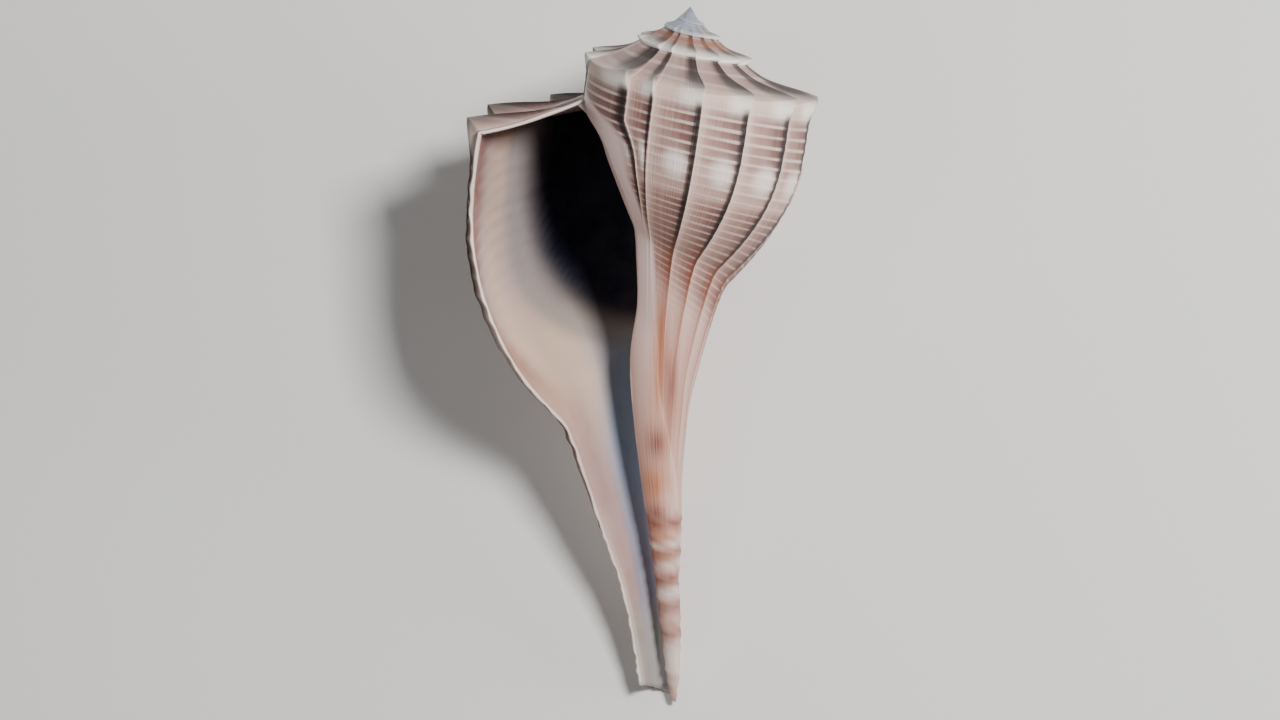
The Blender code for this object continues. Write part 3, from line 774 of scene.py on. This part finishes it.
def paint_masks(points, p):
    """Strength of each colour at each point, from 0 to 1, from its place between the growth lines and
    below the shoulder. The growth lines are saw teeth, so most colours rise with a power of the share.
    The plain factors in the formulas are shares of full strength."""
    glaze = p["glaze"]
    pillar = p["pillar"]
    share = p["share"]
    below = p["below"]
    depth = p["depth"]
    turn = p["turn"]
    from_lip = p["from_lip"]
    back = p["back"]
    wall = p["wall"] * (1 - p["rim"])
    inside = np.maximum(wall, pillar)
    outside = (1 - np.maximum(p["wall"], pillar)) * (1 - glaze)

    spire = turn < -1
    side = zone(below, *SIDE_ZONE)
    upper_band = zone(below, *UPPER_BAND)
    lower_band = zone(below, *LOWER_BAND)
    ramp = 1 - rise(below, *RAMP_EDGE)
    tan_zone = np.clip(upper_band + lower_band + 0.5 * side + 0.75 * ramp, 0, 1)
    brown_zone = np.clip(upper_band + 0.95 * lower_band + 0.3 * side + 0.7 * ramp, 0, 1)
    thread_zone = np.clip(side * (1 - rise(below, *FINE_THREAD_ZONE[:2])) + 0.9 * ramp, 0, 1)
    dome = np.sin(np.pi * share**SWELLING_POWER) * bell(below, SWELLING_DEPTH, SWELLING_WIDTH)
    orange_tiers = (turn > ORANGE_TURNS[0]) * (turn < ORANGE_TURNS[1])
    canal = rise(depth, *CANAL_EDGE) * (1 - inside)
    neck = rise(depth, *NECK_EDGE) * (1 - inside)
    neck_line = rise(below, *NECK_LINE_TOP) * (1 - rise(depth, *NECK_LINE_END))

    # Painted shadow deep in the mouth, fading out down the shell; past_shade is the distance past its start
    mouth = 1 - rise(depth, *MOUTH_EDGE)
    past_shade = from_lip - SHADE_START - SHADE_SHIFT * rise(depth, *SHADE_SHIFT_EDGE)
    painted_mouth_shadow = mouth * (wall * rise(past_shade, *PAINTED_MOUTH_SHADOW_EDGE) + pillar * rise(back, *SHADE_ON_PILLAR))
    # Painted shade in the canal's groove, on the wall's far part and on the pillar
    low = rise(depth, *PAINTED_CANAL_SHADE_EDGE)
    painted_canal_shade = low * (wall * rise(back, *PAINTED_CANAL_SHADE_ON_WALL) + pillar * rise(back, *PAINTED_CANAL_SHADE_ON_PILLAR))
    lira = (0.5 + 0.5 * np.sin(2 * np.pi * (below + LIRA_SLANT * from_lip) / LIRA_SPACING)) ** 2
    lira = lira * zone(from_lip, *LIRA_PAINT_ZONE) * rise(below, *LIRA_TOP) * (1 - rise(depth, *LIRA_END))
    lip_strength = rise(depth, *LIP_BAND_TOP) * (1 - 0.55 * rise(depth, *LIP_BAND_LOW))
    low_cream = rise(depth, *CREAM_TOP) * (1 - 0.7 * rise(depth, *CREAM_END))
    return {
        "tan": outside * tan_zone * (0.6 + 0.4 * share),
        "brown": outside * brown_zone * share**BROWN_POWER,
        "thread": outside * thread_zone * (0.7 + 0.3 * share),
        "fine_thread": outside * zone(below, *FINE_THREAD_ZONE),
        "pale": outside * side * (1 - rise(share, *PALE_END)),
        # Partly pale colour, partly painted highlight on the crest of each swelling
        "swelling": outside * rise(dome, *SWELLING_EDGE),
        "slate": outside * ramp * (0.5 + 0.5 * spire) * (1 - 0.6 * share),
        "streak": outside * ramp * rise(share, *STREAK_EDGE) * (1 - 0.5 * (turn < PALE_STREAK_TURN)),
        "orange": outside * ramp * orange_tiers * bell(below, *ORANGE_BAND),
        "keel": outside * bell(below, *KEEL_BAND) * (0.1 + 0.9 * rise(share, *KNOB_CAP_EDGE)),
        "spire_keel": outside * spire * bell(below, *SPIRE_KEEL_BAND),
        "apex": outside * rise(-turn, *APEX_EDGE),
        "dark_line": outside * side * rise(share, *DARK_LINE_EDGE),
        "glaze_colour": np.maximum(glaze * (1 - wall) * (1 - 0.45 * neck), pillar),
        "neck": outside * neck,
        "neck_line": outside * neck_line * share**NECK_LINE_POWER,
        "neck_warm": (1 - inside) * patches(points, WARM_PATCHES),
        "neck_orange": (1 - inside) * patches(points, ORANGE_PATCHES),
        "neck_red": (1 - inside) * patches(points, RED_PATCHES),
        "canal_stripe": canal * (0.5 + 0.5 * uneven_wave(depth, *STRIPE_WAVE)) ** 2,
        "canal_band": canal * bands(depth, BROWN_BANDS),
        "canal_white": canal * bands(depth, WHITE_BANDS),
        "wall_lavender": wall,
        "wall_cream": wall * np.maximum(bell(from_lip, *CREAM_BAND), low_cream),
        "lira": wall * lira,
        "painted_canal_shade": painted_canal_shade,
        "wall_green": inside * rise(depth, *GREEN_EDGE),
        "lip_band": wall * zone(from_lip, *LIP_BAND) * lip_strength,
        # Painted soft shadow on the wall, just short of the painted deep shadow
        "painted_soft_shadow": wall * mouth * rise(past_shade, *PAINTED_SOFT_SHADOW_EDGE),
        "painted_mouth_shadow": np.clip(painted_mouth_shadow, 0, 1),
        "rim": ease(RIM_GAIN * p["rim"]) * (1 - 0.5 * rise(depth, *RIM_LOW)),
    }


def linear(hex_colour):
    """Turns an sRGB hex colour into linear red, green, blue and a full alpha."""
    srgb = np.array([int(hex_colour[i : i + 2], 16) for i in (1, 3, 5)]) / 255
    light = np.where(srgb <= 0.04045, srgb / 12.92, ((srgb + 0.055) / 1.055) ** 2.4)
    return (*light.tolist(), 1.0)


def add_node(tree, kind, inputs, **settings):
    """Adds a node, sets its properties, and gives each named or numbered input its value or its link."""
    node = tree.nodes.new(kind)
    for name, value in settings.items():
        setattr(node, name, value)
    for name, value in inputs.items():
        if isinstance(value, bpy.types.NodeSocket):
            tree.links.new(value, node.inputs[name])
        else:
            node.inputs[name].default_value = value
    return node


def shell_material():
    """Calcite laid down in growth lines outside, chalky and streaked, with a porcelain glaze in the mouth;
    painted shadow and shade darken the mouth and the canal, and a painted highlight lies on the swellings.
    """
    material = bpy.data.materials.new("calcite_shell")
    material.use_nodes = True
    tree = material.node_tree
    finish = tree.nodes["Principled BSDF"]

    # Noise drawn out along the growth lines or the threads, and an even one
    grain = add_node(tree, "ShaderNodeAttribute", {}, attribute_name="grain").outputs["Vector"]
    fields = {}
    for name, scale, detail in GRAIN_NOISES:
        stretched = add_node(tree, "ShaderNodeVectorMath", {0: grain, 1: scale}, operation="MULTIPLY")
        inputs = {"Vector": stretched.outputs[0], "Scale": 1.0, "Detail": detail}
        fields[name] = add_node(tree, "ShaderNodeTexNoise", inputs).outputs[0]
    object_place = add_node(tree, "ShaderNodeTexCoord", {}).outputs["Object"]
    inputs = {"Vector": object_place, "Scale": BLOTCH_SCALE, "Detail": 5.0}
    fields["blotches"] = add_node(tree, "ShaderNodeTexNoise", inputs).outputs[0]

    # Thin rings at the spiral threads: the crest of a sine wave, broken up by the threads' own noise
    below = add_node(tree, "ShaderNodeSeparateXYZ", {0: grain}).outputs["Y"]
    for name, spacing in (("rings", THREAD_SPACING), ("fine_rings", FINE_THREAD_SPACING)):
        value = add_node(tree, "ShaderNodeMath", {0: below, 1: 2 * np.pi / spacing}, operation="MULTIPLY")
        for operation, inputs in (
            ("SINE", {}),
            ("MULTIPLY_ADD", {1: RING_HEIGHT, 2: RING_HEIGHT}),
            ("POWER", {1: RING_POWER}),
            ("MULTIPLY", {1: fields["threads"]}),
        ):
            value = add_node(tree, "ShaderNodeMath", {0: value.outputs[0], **inputs}, operation=operation)
        fields[name] = value.outputs[0]

    # The layers of paint, each one over those before it
    colour = linear(BASE_COLOUR)
    for name, tint, field_name, broken, strength in PAINT:
        mask = add_node(tree, "ShaderNodeAttribute", {}, attribute_name=name).outputs["Fac"]
        inputs = {0: fields[field_name], 1: FIELD_LOW, 2: FIELD_HIGH, 3: 1 - broken, 4: 1.0}
        speckle = add_node(tree, "ShaderNodeMapRange", inputs).outputs[0]
        amount = add_node(tree, "ShaderNodeMath", {0: mask, 1: speckle}, operation="MULTIPLY").outputs[0]
        inputs = {0: amount, 1: strength}
        amount = add_node(tree, "ShaderNodeMath", inputs, operation="MULTIPLY", use_clamp=True).outputs[0]
        inputs = {0: amount, 6: colour, 7: linear(tint)}
        colour = add_node(tree, "ShaderNodeMix", inputs, data_type="RGBA").outputs[2]
    tree.links.new(colour, finish.inputs["Base Color"])

    # Chalky outside with fine growth lines, glossy where it is glazed
    glaze = add_node(tree, "ShaderNodeAttribute", {}, attribute_name="smooth").outputs["Fac"]
    roughness = add_node(tree, "ShaderNodeMapRange", {0: glaze, 3: CHALK_ROUGHNESS, 4: GLAZE_ROUGHNESS})
    tree.links.new(roughness.outputs[0], finish.inputs["Roughness"])
    bare = add_node(tree, "ShaderNodeMath", {0: 1.0, 1: glaze}, operation="SUBTRACT").outputs[0]
    inputs = {"Strength": bare, "Distance": LINE_BUMP, "Height": fields["lines"]}
    bump = add_node(tree, "ShaderNodeBump", inputs)
    tree.links.new(bump.outputs[0], finish.inputs["Normal"])
    finish.inputs["IOR"].default_value = CALCITE_IOR
    return material


def make_shell():
    """Makes the shell's mesh with its masks and its grain, hides the imported shell part and hangs the mesh
    on the root body.
    """
    surface, end = shell_surface()
    quads = np.concatenate(surface.faces)
    points = np.concatenate(surface.points)
    paint = {name: np.concatenate(values) for name, values in surface.paint.items()}
    masks = paint_masks(points, paint)
    masks["smooth"] = paint["glaze"] + paint["wall"] * (1 - paint["rim"]) * (1 - paint["pillar"])
    keep = np.unique(np.concatenate([quads.reshape(-1), end]))
    number = np.full(surface.count, -1)
    number[keep] = np.arange(len(keep))
    faces = []
    for quad in number[quads].tolist():
        corners = list(dict.fromkeys(quad))
        if len(corners) > 2:
            faces.append(corners)
    faces.append(number[end].tolist())
    mesh = bpy.data.meshes.new("shell_skin")
    mesh.from_pydata(lay_down(points[keep]) * MM, [], faces)
    for name, values in masks.items():
        layer = mesh.attributes.new(name, "FLOAT", "POINT")
        layer.data.foreach_set("value", values[keep].astype(np.float32))
    around = paint["turn"] * LIP_CIRCUMFERENCE
    apart = paint["wall"] * WALL_GRAIN + paint["pillar"] * PILLAR_GRAIN
    grain = np.stack([around, paint["below"], apart], axis=1)[keep]
    layer = mesh.attributes.new("grain", "FLOAT_VECTOR", "POINT")
    layer.data.foreach_set("vector", grain.astype(np.float32).reshape(-1))
    body = bmesh.new()
    body.from_mesh(mesh)
    bmesh.ops.recalc_face_normals(body, faces=body.faces)
    body.to_mesh(mesh)
    body.free()
    mesh.shade_smooth()
    mesh.materials.append(shell_material())
    shell = bpy.data.objects.new("shell_skin", mesh)
    bpy.context.scene.collection.objects.link(shell)
    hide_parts("whelk_shell")
    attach(shell, "root")


def turned(direction):
    """Turns a direction of the shell frame into the resting one."""
    return Vector(lay_down(np.array([direction], float))[0] - lay_down(np.zeros((1, 3)))[0])


def make_floor():
    """Lays plain pale paper under the shell."""
    mesh = bpy.data.meshes.new("floor")
    corners = [(FLOOR_REACH * x, FLOOR_REACH * y, 0) for x, y in ((-1, -1), (1, -1), (1, 1), (-1, 1))]
    mesh.from_pydata(corners, [], [(0, 1, 2, 3)])
    material = bpy.data.materials.new("matt_paper")
    material.use_nodes = True
    finish = material.node_tree.nodes["Principled BSDF"]
    finish.inputs["Base Color"].default_value = linear(FLOOR_COLOUR)
    finish.inputs["Roughness"].default_value = FLOOR_ROUGHNESS
    mesh.materials.append(material)
    floor = bpy.data.objects.new("floor", mesh)
    bpy.context.scene.collection.objects.link(floor)


def make_light(name, direction, distance, size, power):
    """Adds a square soft light in a direction of the shell frame, aimed at the middle of the shell."""
    light = bpy.data.lights.new(name, "AREA")
    light.size = size
    light.energy = power
    lamp = bpy.data.objects.new(name, light)
    target = Vector(lay_down(np.array([VIEW_CENTRE]))[0]) * MM
    lamp.location = target + turned(direction).normalized() * distance
    lamp.rotation_euler = (target - lamp.location).to_track_quat("-Z", "Y").to_euler()
    bpy.context.scene.collection.objects.link(lamp)


def make_camera():
    """Looks down the shell frame's Z with its Y up, tilted, from far enough for a flat view."""
    camera = bpy.data.cameras.new("camera")
    camera.sensor_width = 36.0
    camera.lens = camera.sensor_width * CAMERA_DISTANCE / VIEW_WIDTH
    viewer = bpy.data.objects.new("camera", camera)
    tilt = np.radians(VIEW_TILT)
    right = turned((1, 0, 0))
    up = turned((0, np.cos(tilt), -np.sin(tilt)))
    back = turned((0, np.sin(tilt), np.cos(tilt)))
    target = Vector(lay_down(np.array([VIEW_CENTRE]))[0]) * MM
    spin = Matrix((right, up, back)).transposed().to_4x4()
    viewer.matrix_world = Matrix.Translation(target + back * CAMERA_DISTANCE) @ spin
    bpy.context.scene.collection.objects.link(viewer)
    bpy.context.scene.camera = viewer


make_shell()
make_floor()
for name, direction, distance, size, power in LIGHTS:
    make_light(name, direction, distance, size, power)
make_camera()
world = bpy.data.worlds.new("studio")
world.use_nodes = True
background = world.node_tree.nodes["Background"]
background.inputs["Color"].default_value = linear(WORLD_COLOUR)
background.inputs["Strength"].default_value = WORLD_STRENGTH
bpy.context.scene.world = world
